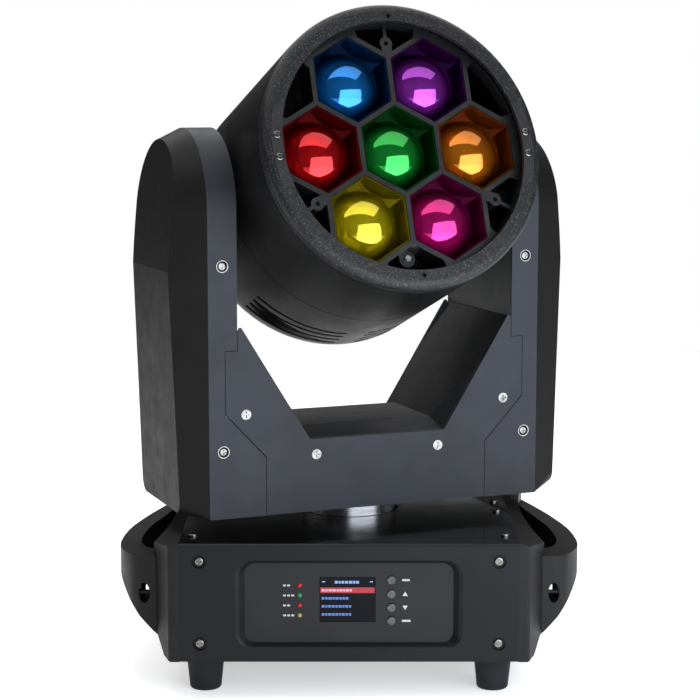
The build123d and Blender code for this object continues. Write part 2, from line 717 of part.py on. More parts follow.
def saddle_half():
    """Front half of the cover over the crossbar, with its seam on the tilt axis plane."""
    solid = saddle_solid()
    shell = solid - Pos(0, 0, -3.2) * solid
    return shell & block(-120, 120, -60, -0.15, 90, 260)


def arm_screws():
    screws = []
    for x, z in ARM_SCREWS:
        screw = Pos(x, -YOKE_FRONT + 1.7, z) * FACING_FRONT * pan_head_screw(2.8, 1.6, 1.5, 6.0)
        for piece in both_sides(screw):
            screws += front_and_back(piece)
    return screws


def arm_screw_cups():
    cups = []
    for x, z in ARM_SCREWS:
        section = [(3.0, -2.0), (4.1, -2.0), (4.1, 0.35), (3.6, 0.35), (3.0, -1.0)]
        cup = Pos(x, -YOKE_FRONT, z) * FACING_FRONT * turned(section)
        for piece in both_sides(cup):
            cups += front_and_back(piece)
    return cups


def plate_screws():
    screws = []
    for x, z in PLATE_SCREWS:
        screw = Pos(x, -YOKE_FRONT, z) * FACING_FRONT * flat_head_screw()
        for piece in both_sides(screw):
            screws += front_and_back(piece)
    return screws


def tilt_bearings():
    bearing = rod_x(24, 103, 112, 0, TILT_Z) - rod_x(TILT_SHAFT_R + BEARING_GAP, 100, 115, 0, TILT_Z)
    groove = rod_x(21.5, 111, 113, 0, TILT_Z) - rod_x(17.5, 110, 114, 0, TILT_Z)
    return both_sides(bearing - groove)


def tilt_motor():
    motor = stepper_motor(42, 30, 2.55)
    return Pos(103, 0, TILT_MOTOR_Z) * Rot(0, 90, 0) * motor


def tilt_motor_rotor():
    wheel = pulley(TILT_PINION_R, 2.4, 0, TILT_BELT_X[1] - TILT_BELT_X[0])
    shaft = rod(2.5, -16.5, TILT_BELT_X[1] - TILT_BELT_X[0] + 1)
    return Pos(TILT_BELT_X[0], 0, TILT_MOTOR_Z) * Rot(0, 90, 0) * (wheel + shaft)


def tilt_belt():
    loop = belt_loop(0, TILT_MOTOR_Z - TILT_Z, TILT_PULLEY_R, TILT_PINION_R, 0.3, 1.4)
    return Pos(0, 0, TILT_Z) * along_x(loop, TILT_BELT_X[0] + 2, TILT_BELT_X[1] - 2)


def yoke_driver_board():
    """Motor driver board in the left arm."""
    board = block(-110.6, -109, -34, 34, 120, 250)
    for z in (140, 175, 210):
        board += block(-116, -110.6, -12, 12, z, z + 16)
    posts = [rod_x(2.5, -109, -106, y, z) for y in (-28, 28) for z in (126, 244)]
    for post in posts:
        board += post
    return board


# ---------------------------------------------------------------- head shell

def barrel_half(upper):
    """Half of the barrel, split on the tilt axis, with vents, a seam groove and half of the fan grille."""
    shell = revolve(Plane.XZ * barrel_section(0), Axis.Z) - revolve(Plane.XZ * barrel_section(BARREL_WALL), Axis.Z)
    shell -= rod_x(TILT_SHAFT_R + 1.2, -120, 120)
    shell -= ring(BARREL_R + 1, BARREL_R - 0.5, SEAM_L - 0.4, SEAM_L + 0.4)
    for level in VENT_L:
        section = [(BARREL_R - 6, level - VENT_WIDTH / 2), (BARREL_R + 2, level - VENT_WIDTH / 2),
                   (BARREL_R + 2, level + VENT_WIDTH / 2), (BARREL_R - 6, level + VENT_WIDTH / 2)]
        for middle in (90, 270):
            shell -= turned(section, middle + VENT_START, VENT_ARC)
            shell -= turned(section, middle - VENT_START - VENT_ARC, VENT_ARC)
    for inner in (10, 18, 26, 34):
        section = [(inner, BARREL_REAR - 2), (inner + 5, BARREL_REAR - 2), (inner + 5, BARREL_REAR + 5),
                   (inner, BARREL_REAR + 5)]
        for quarter in range(4):
            spoke = math.degrees(2.2 / inner)
            shell -= turned(section, 90 * quarter + spoke, 90 - 2 * spoke)
    gap = 0.1
    if upper:
        return shell & block(-110, 110, gap, 110, -110, 110)
    return shell & block(-110, 110, -110, -gap, -110, 110)


def barrel_section(inset):
    """Half section of the barrel in (r, l), closed on the axis."""
    radius = BARREL_R - inset
    rear = BARREL_REAR + inset
    bend_r = REAR_ROUND_R - inset
    bend_l = REAR_ROUND_L - inset
    front = BARREL_FRONT + inset
    side = rear + bend_l
    edges = [
        Line((0, rear), (radius - bend_r, rear)),
        EllipticalCenterArc((radius - bend_r, side), bend_r, bend_l, start_angle=270, arc_size=90),
        Line((radius, side), (radius, front)),
        Line((radius, front), (0, front)),
        Line((0, front), (0, rear)),
    ]
    return make_face(edges)


def ring_section():
    lip_back = RING_FACE - 3
    edge = RING_FACE - (RING_R - RING_FLAT_R)
    slack = (RING_R - RING_FLAT_R) * (1 - math.sqrt(0.5))
    lines = [
        Line((RING_OPENING_R, RING_FACE), (RING_FLAT_R, RING_FACE)),
        ThreePointArc((RING_FLAT_R, RING_FACE), (RING_R - slack, RING_FACE - slack), (RING_R, edge)),
        Line((RING_R, edge), (RING_R, BARREL_FRONT + 0.3)),
        Line((RING_R, BARREL_FRONT + 0.3), (RING_SPIGOT_R, BARREL_FRONT + 0.3)),
        Line((RING_SPIGOT_R, BARREL_FRONT + 0.3), (RING_SPIGOT_R, 86)),
        Line((RING_SPIGOT_R, 86), (90.6, 86)),
        Line((90.6, 86), (90.6, lip_back)),
        Line((90.6, lip_back), (RING_OPENING_R, lip_back)),
        Line((RING_OPENING_R, lip_back), (RING_OPENING_R, RING_FACE)),
    ]
    return make_face(lines)


def clip_pocket(clearance):
    """Space for a clip segment at both sides of the ring face."""
    floor = RING_FACE - 2
    slab = ring(RING_FLAT_R + 0.2 + clearance, RING_OPENING_R - 1, floor, RING_FACE + 1)
    half = CLIP_HALF + clearance
    return slab & block(-110, 110, -half, half, 90, 120)


def ring_screw_spots():
    along = math.sqrt(RING_SCREW_R ** 2 - RING_SCREW_OFF ** 2)
    return [(sx * along, sy * RING_SCREW_OFF) for sx in (-1, 1) for sy in (-1, 1)]


def front_ring():
    bezel = revolve(Plane.XZ * ring_section(), Axis.Z) - clip_pocket(0.25)
    for y in (-87.9, 87.9):
        bezel -= rod(1.5, 98, 110, 0, y)
    for x, y in ring_screw_spots():
        bezel -= rod(1.3, 98, 110, x, y)
    return bezel


def ring_clips():
    clips = clip_pocket(0) & ring(RING_FLAT_R + 0.2, RING_OPENING_R, RING_FACE - 2, RING_FACE)
    for x, y in ring_screw_spots():
        clips -= rod(2.9, RING_FACE - 0.9, 110, x, y)
        clips -= rod(1.3, 98, 110, x, y)
    return clips


def ring_screws():
    return [Pos(x, y, RING_FACE - 0.9) * pan_head_screw(2.6, 1.4, 1.25, 4.0) for x, y in ring_screw_spots()]


# ---------------------------------------------------------------- head internals

def head_chassis():
    """Ring bulkhead with a bracket at each side that carries the tilt shafts."""
    plate = ring(91.5, 58.5, 2, 5) - block(-15, 15, -90, -50, 0, 6)
    for piece in both_sides(block(86.9, 93, -23, 23, 0, 6)):
        plate -= piece
    for piece in both_sides(block(84, 87, -26, 26, -26, 5) - rod_x(9, 80, 95)):
        plate += piece
    return plate


def tilt_shaft(length_end):
    """Hollow tilt shaft on a bolted flange, reaching into an arm."""
    shaft = rod_x(22, 87, 90) + rod_x(TILT_SHAFT_R, 90, length_end)
    return shaft - rod_x(9, 80, 130)


def tilt_pulley():
    wheel = pulley(TILT_PULLEY_R, TILT_SHAFT_R, 0, TILT_BELT_X[1] - TILT_BELT_X[0])
    for angle in range(0, 360, 60):
        wheel -= Rot(0, 0, angle) * rod(4.5, -1, 20, 25, 0)
    return Pos(TILT_BELT_X[0], 0, 0) * Rot(0, 90, 0) * wheel


def lens_spots():
    return [(0.0, 0.0)] + [(LENS_PITCH * math.cos(math.radians(a)), LENS_PITCH * math.sin(math.radians(a)))
                           for a in range(0, 360, 60)]


def led_plate():
    plate = rod(78, 5, 7)
    plate -= rod(4.0, 0, 10, 0, -SCREW_ORBIT)
    return plate


def led_emitters():
    chip = block(-7, 7, -7, 7, 7, 8.2) + block(-5, 5, -5, 5, 8.2, 8.8)
    return [Pos(x, y, 0) * chip for x, y in lens_spots()]


def light_guide():
    """Square mixing rod that widens towards the lens."""
    foot = Pos(0, 0, 9.0) * Rectangle(9, 9)
    head = Pos(0, 0, 40.0) * Rectangle(15, 15)
    return loft([foot, head])


def light_guides():
    return [Pos(x, y, 0) * light_guide() for x, y in lens_spots()]


def light_guide_holder():
    plate = rod(66, 34, 36.5)
    for x, y in lens_spots():
        plate -= Pos(x, y, 0) * light_guide()
    posts = [rod(2.6, 7, 34, 46 * math.cos(math.radians(a)), 46 * math.sin(math.radians(a))) for a in (30, 150, 270)]
    for post in posts:
        plate += post
    return plate


def heatsink():
    """Finned block behind the LED plate."""
    block_ = rod(56, -2, 5)
    span = 54
    for step in range(-7, 8):
        x = step * 7.0
        half = math.sqrt(span ** 2 - x ** 2) if abs(x) < span else 0
        block_ += block(x - 0.9, x + 0.9, -half, half, -52, -2)
    return block_


def fan_frame():
    """Square axial fan frame with a motor mount on three struts."""
    frame = block(-40, 40, -40, 40, -78, -55)
    frame = fillet(frame.edges().filter_by(Axis.Z), 5)
    frame -= rod(38, -80, -50)
    frame += rod(15, -78, -75)
    strut = block(14, 39, -1.5, 1.5, -78, -75)
    for angle in (0, 120, 240):
        frame += Rot(0, 0, angle) * strut
    for x in (-35.5, 35.5):
        for y in (-35.5, 35.5):
            frame -= rod(2.2, -80, -50, x, y)
    return frame + rod(2.0, -75, -66)


def fan_rotor():
    """Fan hub with seven twisted blades, open at the back for the motor shaft."""
    hub = rod(16, -73.5, -57) - rod(14.5, -74, -59) + rod(4, -73.5, -59) - rod(2.06, -74, -65)
    blade_root = Plane(origin=(15, 0, -65), x_dir=(0, 1, 0), z_dir=(1, 0, 0))
    root = blade_root * Rot(0, 0, 38) * Rectangle(15, 1.6)
    tip = blade_root.offset(21.5) * Rot(0, 0, 26) * Rectangle(22, 1.4)
    blade = loft([root, tip])
    for step in range(7):
        hub += Rot(0, 0, step * 360 / 7) * blade
    return hub


def head_driver_board():
    board = block(-40, 40, 72, 73.6, -50, -8)
    for x in (-24, 0, 24):
        board += block(x - 6, x + 6, 68, 72, -40, -28)
    for x in (-30, 30):
        board += block(x - 4, x + 4, 72, 76, -8, 2)
    return board


def zoom_motor():
    motor = stepper_motor(28, 24, 2.55)
    return Pos(0, -SCREW_ORBIT, 2) * motor


def guide_rods():
    rods = []
    for angle in (90, 210, 330):
        x = BOSS_ORBIT * math.cos(math.radians(angle))
        y = BOSS_ORBIT * math.sin(math.radians(angle))
        rods.append(rod(ROD_R, 7, FRAME_FACE - 6, x, y) + rod(4, 7, 12, x, y))
    return rods


def zoom_lead_screw():
    return rod(ZOOM_SCREW_R, -4, 84, 0, -SCREW_ORBIT) + rod(3.2, 10, 13, 0, -SCREW_ORBIT)


def hexagon(circumradius):
    """Hexagon with a corner pointing up."""
    return RegularPolygon(circumradius, 6, rotation=30)


def lens_frame():
    """Honeycomb that carries the lenses, with an outer rim, three guide bosses and a nut lug."""
    outer_cell = hexagon(CELL_R + CELL_RIB * 2 / math.sqrt(3))
    cells = Pos(0, 0) * outer_cell
    holes = Pos(0, 0) * hexagon(CELL_R)
    for x, y in lens_spots()[1:]:
        cells += Pos(x, y) * outer_cell
        holes += Pos(x, y) * hexagon(CELL_R)
    rim = Circle(FRAME_R) - Circle(FRAME_RIM_R)
    wedge = polygon([(0, 0), (95, 95 * math.tan(math.radians(15.5))), (95, -95 * math.tan(math.radians(15.5)))])
    fill = Circle(FRAME_R) - Circle(70)
    bridges = Sketch() + [Rot(0, 0, a) * wedge for a in range(0, 360, 60)]
    face = (cells & Circle(FRAME_R)) + rim + (fill & bridges)
    frame = along_z(face, FRAME_FACE - 3, FRAME_FACE)
    frame += along_z(cells & Circle(FRAME_R), FRAME_BACK, FRAME_FACE - 3)
    frame += along_z(rim, FRAME_FACE - 8, FRAME_FACE - 3)
    for angle in (90, 210, 330):
        boss = rod(BOSS_R, FRAME_BACK, FRAME_FACE, BOSS_ORBIT, 0)
        web = block(BOSS_ORBIT, FRAME_RIM_R + 0.8, -1.2, 1.2, FRAME_FACE - 3, FRAME_FACE)
        root = block(BOSS_ORBIT - 9, BOSS_ORBIT, -3.6, 3.6, FRAME_BACK, FRAME_FACE)
        frame += Rot(0, 0, angle) * (boss + web + root)
    lug = rod(5.5, FRAME_BACK, FRAME_BACK + 6, 0, -SCREW_ORBIT)
    lug += block(-5.5, 5.5, -SCREW_ORBIT, -56, FRAME_BACK, FRAME_BACK + 6)
    frame += lug
    frame -= along_z(holes, FRAME_BACK - 1, FRAME_FACE + 1)
    for angle in (90, 210, 330):
        frame -= Rot(0, 0, angle) * rod(ROD_R + ROD_GAP, FRAME_BACK - 1, FRAME_FACE + 1, BOSS_ORBIT, 0)
    return frame - rod(ZOOM_SCREW_R + ROD_GAP, FRAME_BACK - 1, FRAME_FACE + 1, 0, -SCREW_ORBIT)


def lens():
    """Ball-like dome in a hexagonal cup, moulded in one."""
    top = FRAME_FACE - 0.5
    cup = along_z(hexagon(LENS_R), FRAME_BACK, top)
    cup -= along_z(hexagon(LENS_R - 1.2), DOME_BASE_L, top + 1)
    sink = math.sqrt(DOME_R ** 2 - DOME_BASE_R ** 2)
    dome = Pos(0, 0, DOME_BASE_L - sink) * Sphere(DOME_R)
    dome &= rod(DOME_R + 1, DOME_BASE_L, FRAME_FACE + 5)
    return cup + dome


def build():
    os.makedirs("parts", exist_ok=True)
    save("base_tray", BASE, base_tray())
    save("base_feet", BASE, *base_feet())
    save("base_tops", BASE, *front_and_back(base_top()))
    save("front_panel", BASE, front_panel())
    save("rear_panel", BASE, rear_panel())
    save("side_castings", BASE, *both_sides(side_casting()))
    save("base_screws", BASE, *base_screws())
    save("display_panel", BASE, display_panel())
    save("display_screen", BASE, display_screen())
    save("status_leds", BASE, *[status_led(z) for z in LED_Z])
    for name, z in zip(("menu_button", "up_button", "down_button", "enter_button"), BUTTON_Z):
        save(name, BASE, button(z))
    save("control_board", BASE, control_board(), *tact_switches())
    save("power_sockets", BASE, *[power_socket(x, z) for x, z in CONNECTORS[:2]])
    save("dmx_input", BASE, dmx_socket_male(*CONNECTORS[2]))
    save("dmx_output", BASE, dmx_socket_female(*CONNECTORS[3]))
    save("dmx_latch", BASE, dmx_latch(*CONNECTORS[3]))
    save("fuse_holder", BASE, fuse_holder())
    save("power_supply", BASE, power_supply(), power_supply_board())
    save("main_board", BASE, main_board())
    save("pan_bridge", BASE, pan_bridge() + pan_bearing_housing())
    save("pan_bearings", BASE, *pan_bearings())
    save("pan_motor", BASE, pan_motor())
    save("pan_motor_rotor", BASE, pan_motor_rotor())
    save("pan_belt", BASE, pan_belt())

    save("pan_hub", YOKE, pan_hub())
    save("pan_pulley", YOKE, pan_pulley())
    save("yoke_frame", YOKE, yoke_frame())
    save("arm_housings", YOKE, *both_sides(arm_housing()))
    save("arm_outer_covers", YOKE, *both_sides(arm_outer_cover()))
    save("arm_inner_covers", YOKE, *both_sides(arm_inner_cover()))
    save("yoke_plates", YOKE, *front_and_back(yoke_plate()))
    save("saddle_covers", YOKE, *front_and_back(saddle_half()))
    save("yoke_screws", YOKE, *arm_screws(), *arm_screw_cups(), *plate_screws())
    save("tilt_bearings", YOKE, *tilt_bearings())
    save("tilt_motor", YOKE, tilt_motor())
    save("tilt_motor_rotor", YOKE, tilt_motor_rotor())
    save("tilt_belt", YOKE, tilt_belt())
    save("yoke_driver_board", YOKE, yoke_driver_board())

    save("head_upper_shell", HEAD, barrel_half(True))
    save("head_lower_shell", HEAD, barrel_half(False))
    save("front_ring", HEAD, front_ring())
    save("ring_clips", HEAD, ring_clips())
    save("ring_screws", HEAD, *ring_screws())
    save("head_chassis", HEAD, head_chassis())
    save("tilt_shafts", HEAD, tilt_shaft(122.5), mirrored_x(tilt_shaft(113)), tilt_pulley())
    save("led_board", HEAD, led_plate(), *led_emitters())
    save("light_guides", HEAD, *light_guides())
    save("light_guide_holder", HEAD, light_guide_holder())
    save("heatsink", HEAD, heatsink())
    save("fan_frame", HEAD, fan_frame())
    save("fan_rotor", HEAD, fan_rotor())
    save("head_driver_board", HEAD, head_driver_board())
    save("zoom_motor", HEAD, zoom_motor())
    save("guide_rods", HEAD, *guide_rods())
    save("zoom_lead_screw", HEAD, zoom_lead_screw())
    save("lens_frame", HEAD, lens_frame())
    save("lenses", HEAD, *[Pos(x, y, 0) * lens() for x, y in lens_spots()])


build()
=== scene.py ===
import bpy
import json
import math
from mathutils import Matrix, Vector

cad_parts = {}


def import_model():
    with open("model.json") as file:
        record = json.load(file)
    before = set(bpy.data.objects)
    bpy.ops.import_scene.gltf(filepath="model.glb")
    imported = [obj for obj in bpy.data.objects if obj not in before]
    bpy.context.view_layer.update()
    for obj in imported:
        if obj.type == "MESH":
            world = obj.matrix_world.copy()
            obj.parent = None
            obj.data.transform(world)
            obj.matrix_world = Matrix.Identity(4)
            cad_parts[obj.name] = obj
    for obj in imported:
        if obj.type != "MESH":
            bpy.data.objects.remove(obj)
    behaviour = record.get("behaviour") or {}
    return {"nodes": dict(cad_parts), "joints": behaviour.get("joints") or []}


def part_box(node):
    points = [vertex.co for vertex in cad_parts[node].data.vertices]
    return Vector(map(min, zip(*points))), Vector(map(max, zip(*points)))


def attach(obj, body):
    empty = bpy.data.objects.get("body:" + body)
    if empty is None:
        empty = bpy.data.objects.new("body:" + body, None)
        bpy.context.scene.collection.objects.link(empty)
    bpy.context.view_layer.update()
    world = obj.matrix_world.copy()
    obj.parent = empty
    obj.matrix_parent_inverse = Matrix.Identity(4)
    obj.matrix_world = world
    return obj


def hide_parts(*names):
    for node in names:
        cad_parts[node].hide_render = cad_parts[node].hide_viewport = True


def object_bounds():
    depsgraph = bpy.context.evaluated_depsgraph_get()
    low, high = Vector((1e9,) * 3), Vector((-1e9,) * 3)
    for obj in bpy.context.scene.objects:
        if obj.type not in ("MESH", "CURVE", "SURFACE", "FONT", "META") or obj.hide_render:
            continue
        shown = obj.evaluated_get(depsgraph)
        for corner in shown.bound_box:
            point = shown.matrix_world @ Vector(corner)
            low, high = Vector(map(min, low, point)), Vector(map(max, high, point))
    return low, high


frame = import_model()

cad_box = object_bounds()

scene = bpy.context.scene
scene.view_settings.view_transform = "Standard"

MM = 0.001


# ---------------------------------------------------------------- material parts

CLOUD_BAND = (0.32, 0.68)    # noise values at which the dark and the light colour are reached
WEAR_FINENESS = 3.1          # the roughness pattern's scale, in scales of the colour pattern
COAT_ROUGHNESS = 0.08
DULL_GRAINS = 0.86           # share of the grains of a sparkling finish that get no painted glint


def scaled(color, factor):
    return tuple(c * factor for c in color)


def link_noise(tree, vector, scale, detail=3.0, rough=0.55):
    noise = tree.nodes.new("ShaderNodeTexNoise")
    noise.inputs["Scale"].default_value = scale
    noise.inputs["Detail"].default_value = detail
    noise.inputs["Roughness"].default_value = rough
    tree.links.new(vector, noise.inputs["Vector"])
    return noise.outputs["Fac"]


def ramp(tree, value, stops):
    """Colour ramp from (position, colour) stops."""
    node = tree.nodes.new("ShaderNodeValToRGB")
    points = node.color_ramp.elements
    while len(points) < len(stops):
        points.new(0.5)
    for point, (place, color) in zip(points, stops):
        point.position = place
        point.color = (*color, 1.0)
    tree.links.new(value, node.inputs["Fac"])
    return node.outputs["Color"]


def spread(tree, value, low, high, start=0.3, end=0.7):
    """Map the noise values from start to end onto low to high."""
    node = tree.nodes.new("ShaderNodeMapRange")
    node.inputs["From Min"].default_value = start
    node.inputs["From Max"].default_value = end
    node.inputs["To Min"].default_value = low
    node.inputs["To Max"].default_value = high
    tree.links.new(value, node.inputs["Value"])
    return node.outputs["Result"]


def add_bump(tree, bsdf, height, strength, distance):
    bump = tree.nodes.new("ShaderNodeBump")
    bump.inputs["Strength"].default_value = strength
    bump.inputs["Distance"].default_value = distance
    tree.links.new(height, bump.inputs["Height"])
    tree.links.new(bump.outputs["Normal"], bsdf.inputs["Normal"])


# ---------------------------------------------------------------- materials

def surface(name, dark, light, rough, metal=0.0, patch=22.0, grain=1400.0,
            relief=0.00006, strength=0.35, gloss=0.5, coat=0.0, stretch=(1.0, 1.0, 1.0)):
    """Finish with cloudy colour, patches of wear in its roughness, and a fine grain.

    patch and grain are noise scales, relief is the grain's height in metres, and gloss is
    the specular level.
    """
    mat = bpy.data.materials.new(name)
    mat.use_nodes = True
    tree = mat.node_tree
    bsdf = tree.nodes["Principled BSDF"]
    coord = tree.nodes.new("ShaderNodeTexCoord")
    place = tree.nodes.new("ShaderNodeMapping")
    place.inputs["Scale"].default_value = stretch
    tree.links.new(coord.outputs["Object"], place.inputs["Vector"])
    vector = place.outputs["Vector"]
    cloud = link_noise(tree, vector, patch, 4.0)
    tint = ramp(tree, cloud, list(zip(CLOUD_BAND, (dark, light))))
    tree.links.new(tint, bsdf.inputs["Base Color"])
    wear = link_noise(tree, vector, patch * WEAR_FINENESS, 5.0, 0.65)
    tree.links.new(spread(tree, wear, rough[0], rough[1]), bsdf.inputs["Roughness"])
    fine = link_noise(tree, vector, grain, 2.0)
    add_bump(tree, bsdf, fine, strength, relief)
    bsdf.inputs["Metallic"].default_value = metal
    bsdf.inputs["Specular IOR Level"].default_value = gloss
    bsdf.inputs["Coat Weight"].default_value = coat
    bsdf.inputs["Coat Roughness"].default_value = COAT_ROUGHNESS
    return mat


def sparkling(name, dark, painted_glint, rough, scale):
    """Coarse moulded texture in which some of the grains are painted light, as painted glints
    where they catch the light.
    """
    mat = surface(name, dark, scaled(dark, 1.5), rough, grain=scale * 0.6,
                  relief=0.00022, strength=0.8, gloss=0.32)
    tree = mat.node_tree
    bsdf = tree.nodes["Principled BSDF"]
    coord = tree.nodes["Texture Coordinate"]
    cells = tree.nodes.new("ShaderNodeTexVoronoi")
    cells.inputs["Scale"].default_value = scale
    tree.links.new(coord.outputs["Object"], cells.inputs["Vector"])
    pick = tree.nodes.new("ShaderNodeSeparateColor")
    tree.links.new(cells.outputs["Color"], pick.inputs["Color"])
    # the last stop is a painted glint on a few grains
    stops = [(0.0, dark), (DULL_GRAINS, scaled(dark, 1.4)), (1.0, painted_glint)]
    tree.links.new(ramp(tree, pick.outputs["Red"], stops), bsdf.inputs["Base Color"])
    return mat


def board_finish(name):
    """Solder mask with copper tracks under it."""
    mat = surface(name, (0.006, 0.05, 0.02), (0.01, 0.09, 0.035), (0.3, 0.5), grain=600.0)
    tree = mat.node_tree
    bsdf = tree.nodes["Principled BSDF"]
    coord = tree.nodes["Texture Coordinate"]
    tracks = tree.nodes.new("ShaderNodeTexBrick")
    tracks.inputs["Scale"].default_value = 90.0
    tracks.inputs["Mortar Size"].default_value = 0.03
    tracks.inputs["Color1"].default_value = (0.006, 0.05, 0.02, 1)
    tracks.inputs["Color2"].default_value = (0.01, 0.08, 0.03, 1)
    tracks.inputs["Mortar"].default_value = (0.05, 0.16, 0.06, 1)
    tree.links.new(coord.outputs["Object"], tracks.inputs["Vector"])
    tree.links.new(tracks.outputs["Color"], bsdf.inputs["Base Color"])
    return mat


def glowing(name, color, strength, rough=0.25):
    """Finish that gives off a little of its own colour, as a lit screen or lamp does."""
    mat = surface(name, scaled(color, 0.7), color, (rough, rough + 0.15), grain=900.0,
                  relief=0.00002)
    tree = mat.node_tree
    bsdf = tree.nodes["Principled BSDF"]
    cloud = link_noise(tree, tree.nodes["Texture Coordinate"].outputs["Object"], 700.0)
    glow = ramp(tree, cloud, [(0.3, scaled(color, 0.8)), (0.7, color)])
    tree.links.new(glow, bsdf.inputs["Emission Color"])
    bsdf.inputs["Emission Strength"].default_value = strength
    return mat


def lens_finish(name, deep, painted_highlight):
    """Tinted clear dome: dark and saturated, with its colour in the highlights as well. Its
    colour is painted brighter at the middle and at the rim, a painted highlight set by how
    squarely the dome faces the view.
    """
    mat = bpy.data.materials.new(name)
    mat.use_nodes = True
    tree = mat.node_tree
    bsdf = tree.nodes["Principled BSDF"]
    coord = tree.nodes.new("ShaderNodeTexCoord")
    facing = tree.nodes.new("ShaderNodeLayerWeight")
    facing.inputs["Blend"].default_value = 0.45
    # painted highlight: the dome's colour is lighter where it faces the view squarely and at
    # its rim
    stops = [(0.0, painted_highlight), (0.55, deep), (1.0, painted_highlight)]
    tint = ramp(tree, facing.outputs["Facing"], stops)
    cloud = link_noise(tree, coord.outputs["Object"], 60.0, 3.0)
    shade = ramp(tree, cloud, [(0.3, (0.72, 0.72, 0.72)), (0.7, (1.0, 1.0, 1.0))])
    mix = tree.nodes.new("ShaderNodeMix")
    mix.data_type = "RGBA"
    mix.blend_type = "MULTIPLY"
    mix.inputs["Factor"].default_value = 1.0
    tree.links.new(tint, mix.inputs["A"])
    tree.links.new(shade, mix.inputs["B"])
    tree.links.new(mix.outputs["Result"], bsdf.inputs["Base Color"])
    bsdf.inputs["Metallic"].default_value = 0.75
    rough = link_noise(tree, coord.outputs["Object"], 240.0, 2.0)
    tree.links.new(spread(tree, rough, 0.05, 0.12), bsdf.inputs["Roughness"])
    bsdf.inputs["Coat Weight"].default_value = 0.35
    bsdf.inputs["Coat Roughness"].default_value = 0.03
    return mat


# ---------------------------------------------------------------- finishes of the CAD nodes

def paint(mat, *names):
    for name in names:
        data = frame["nodes"][name].data
        data.materials.clear()
        data.materials.append(mat)


def paint_base():
    paint(surface("enamel", (0.0042, 0.0045, 0.0056), (0.0062, 0.0066, 0.0080), (0.36, 0.48),
                  grain=2200.0, relief=0.00003, strength=0.25, gloss=0.2),
          "front_panel", "rear_panel")
    paint(surface("tray_enamel", (0.014, 0.014, 0.015), (0.022, 0.022, 0.024), (0.45, 0.6),
                  grain=1200.0),
          "base_tray")
    paint(surface("top_gloss", (0.002, 0.002, 0.0023), (0.003, 0.003, 0.0033), (0.08, 0.15),
                  grain=500.0, relief=0.00001, strength=0.1, gloss=0.3, coat=0.05),
          "base_tops")
    paint(surface("casting_coat", (0.006, 0.0058, 0.0058), (0.009, 0.0087, 0.0087),
                  (0.42, 0.55), grain=1500.0, relief=0.00010, strength=0.4, gloss=0.22),
          "side_castings")
    paint(surface("foot_rubber", (0.009, 0.009, 0.012), (0.014, 0.014, 0.018), (0.6, 0.8),
                  grain=1300.0, relief=0.00012, strength=0.5, gloss=0.25),
          "base_feet")
    paint(surface("display_overlay", (0.012, 0.012, 0.0145), (0.015, 0.015, 0.0175),
                  (0.32, 0.44), grain=2600.0, relief=0.00002, strength=0.2, gloss=0.22),
          "display_panel")
    paint(surface("screen_glass", (0.003, 0.0035, 0.005), (0.005, 0.0055, 0.008), (0.06, 0.12),
                  grain=400.0, relief=0.000005, strength=0.05, gloss=0.08),
          "display_screen")
    paint(surface("button_clear", (0.012, 0.012, 0.014), (0.05, 0.05, 0.055), (0.10, 0.2),
                  patch=420.0, grain=900.0, relief=0.0001, gloss=0.6, coat=0.5),
          "menu_button", "up_button", "down_button", "enter_button")
    paint(surface("connector_moulding", (0.009, 0.009, 0.0095), (0.014, 0.014, 0.0145),
                  (0.38, 0.52), grain=1500.0),
          "dmx_input", "dmx_output", "fuse_holder", "dmx_latch")
    paint(surface("power_moulding", (0.010, 0.014, 0.03), (0.014, 0.02, 0.045), (0.38, 0.5),
                  grain=1500.0),
          "power_sockets")


def paint_yoke():
    paint(surface("yoke_coat", (0.021, 0.023, 0.029), (0.026, 0.0285, 0.036), (0.42, 0.54),
                  grain=1900.0, relief=0.0001, strength=0.6, gloss=0.2),
          "arm_housings", "yoke_plates")
    paint(surface("saddle_coat", (0.018, 0.018, 0.019), (0.024, 0.024, 0.025), (0.45, 0.6),
                  grain=1900.0, relief=0.00008, strength=0.45, gloss=0.4),
          "saddle_covers")
    paint(surface("arm_moulding", (0.006, 0.0058, 0.0058), (0.0085, 0.0082, 0.0082),
                  (0.42, 0.55), grain=1600.0, relief=0.00010, strength=0.5, gloss=0.15),
          "arm_outer_covers")
    paint(surface("inner_moulding", (0.03, 0.03, 0.03), (0.04, 0.04, 0.04), (0.5, 0.65),
                  grain=1400.0),
          "arm_inner_covers")


def paint_head():
    paint(surface("shell_moulding", (0.0035, 0.0035, 0.0037), (0.0055, 0.0055, 0.0057),
                  (0.34, 0.46), grain=1800.0, relief=0.00005, strength=0.35, gloss=0.22),
          "head_upper_shell", "head_lower_shell")
    paint(sparkling("ring_moulding", (0.006, 0.006, 0.0068), (0.075, 0.075, 0.082),
                    (0.36, 0.5), 1900.0),
          "front_ring")
    paint(sparkling("clip_moulding", (0.010, 0.010, 0.0105), (0.05, 0.05, 0.055),
                    (0.4, 0.55), 2600.0),
          "ring_clips")
    paint(surface("honeycomb_moulding", (0.006, 0.006, 0.0065), (0.010, 0.010, 0.0105),
                  (0.28, 0.42), grain=1700.0, relief=0.00005),
          "lens_frame", "light_guide_holder")
    paint(surface("light_guide_clear", (0.55, 0.58, 0.62), (0.7, 0.74, 0.8), (0.04, 0.12),
                  gloss=0.6),
          "light_guides")
    paint(surface("chassis_sheet", (0.05, 0.052, 0.06), (0.09, 0.092, 0.1), (0.35, 0.5), 0.8,
                  patch=55.0, grain=900.0),
          "head_chassis")
    paint(surface("led_substrate", (0.10, 0.11, 0.13), (0.2, 0.21, 0.24), (0.3, 0.5), 0.3,
                  patch=160.0),
          "led_board")
    paint(surface("fan_moulding", (0.010, 0.010, 0.0105), (0.016, 0.016, 0.017), (0.35, 0.5),
                  grain=1500.0),
          "fan_frame", "fan_rotor")


